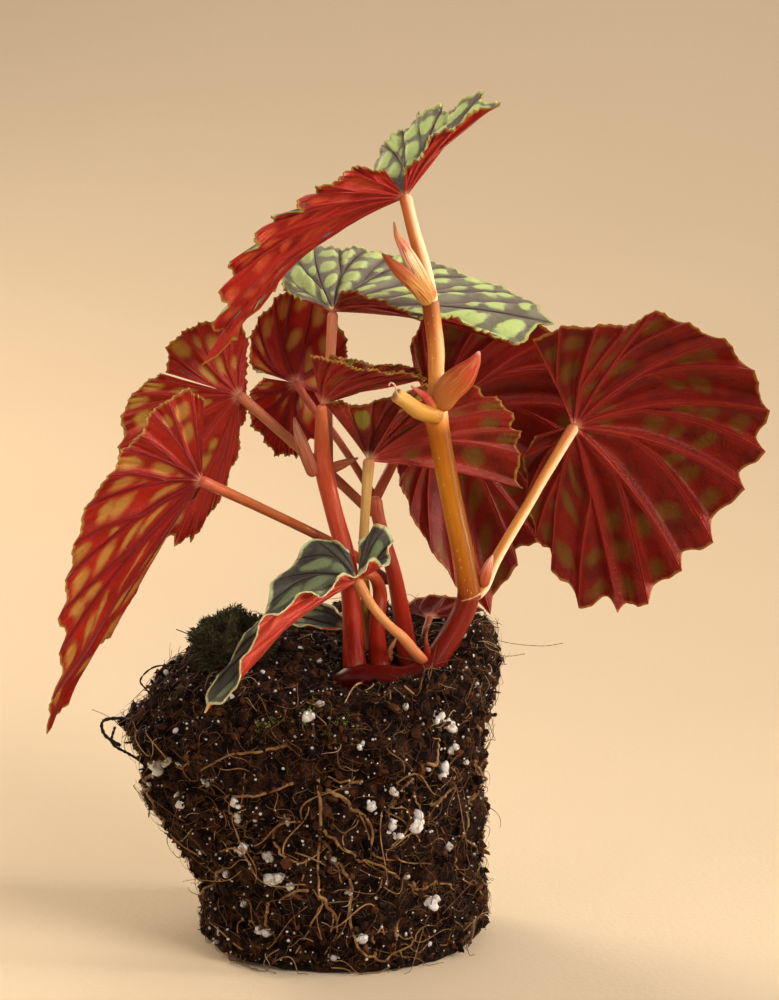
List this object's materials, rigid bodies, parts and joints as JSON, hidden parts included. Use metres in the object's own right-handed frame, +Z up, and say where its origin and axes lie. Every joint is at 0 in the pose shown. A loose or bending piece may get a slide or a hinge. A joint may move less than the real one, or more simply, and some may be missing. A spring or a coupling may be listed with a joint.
{
  "type": "rooted begonia plantlet with root ball",
  "caption": "Young rhizomatous begonia with pleated, toothed leaves, red beneath, that stands on the moulded soil of its own root ball.",
  "frame": {"origin": "centre of the flat underside of the root ball", "axes": "+Z up along the root ball's axis, +X to the right and +Y to the back when the rhizome is seen from the front"},
  "size_m": [0.1304, 0.0672, 0.1542],
  "materials": {
    "leaf_red": "satin",
    "leaf_green": "satin",
    "rhizome": "gloss",
    "stem_amber": "satin",
    "stem_red": "satin",
    "petiole": "satin",
    "stipule": "satin",
    "moss": "matte",
    "soil": "matte",
    "root": "satin",
    "perlite": "matte"
  },
  "bodies": {
    "root": {"leaf_right": "leaf_red", "leaf_back_right": "leaf_red", "leaf_centre": "leaf_red", "leaf_young": "leaf_red", "leaf_left_front": "leaf_red", "leaf_left_back": "leaf_red", "leaf_mid_back": "leaf_red", "leaf_low_right": "leaf_red", "leaf_top": "leaf_green", "leaf_green": "leaf_green", "leaf_low_front": "leaf_green", "leaf_low_back": "leaf_green", "rhizome": "rhizome", "stem_main": "stem_amber", "petiole_stub": "stem_amber", "stem_left": "stem_red", "stem_back": "stem_red", "stem_short": "stem_red", "petiole_top": "petiole", "petiole_green": "petiole", "petiole_right": "petiole", "petiole_back_right": "petiole", "petiole_centre": "petiole", "petiole_left_front": "petiole", "petiole_left_back": "petiole", "petiole_mid_back": "petiole", "petiole_low_front": "petiole", "petiole_low_right": "petiole", "petiole_low_back": "petiole", "stipule_bud": "stipule", "stipule_small": "stipule", "stipule_upper_left": "stipule", "stipule_upper_right": "stipule", "stipule_node_left": "stipule", "stipule_node_right": "stipule", "stipule_petiole": "stipule", "sprout": "stipule", "moss_clump": "moss", "root_ball": "soil"}
  },
  "joints": []
}
